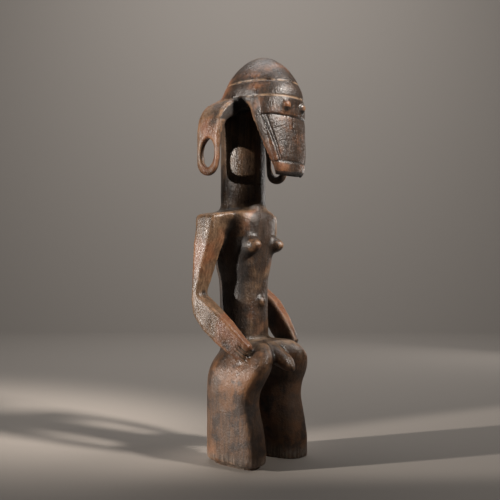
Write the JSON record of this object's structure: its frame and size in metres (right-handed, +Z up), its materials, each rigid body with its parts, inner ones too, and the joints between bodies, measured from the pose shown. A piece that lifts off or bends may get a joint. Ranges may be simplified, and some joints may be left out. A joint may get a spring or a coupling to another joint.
{
  "type": "jukun figure",
  "caption": "Standing carved wooden guardian figure with a helmet head, long face plate, pierced ear flaps, bent arms and slab legs.",
  "frame": {"origin": "on the floor plane of the soles, under the centre of the figure's bounding box", "axes": "+Z up, -Y the way the figure faces, +X towards the figure's left side"},
  "size_m": [0.198, 0.1644, 0.703],
  "materials": {
    "carved_wood": "dark patinated hardwood, waxed by handling"
  },
  "bodies": {
    "root": {"figure": "carved_wood"}
  },
  "joints": []
}
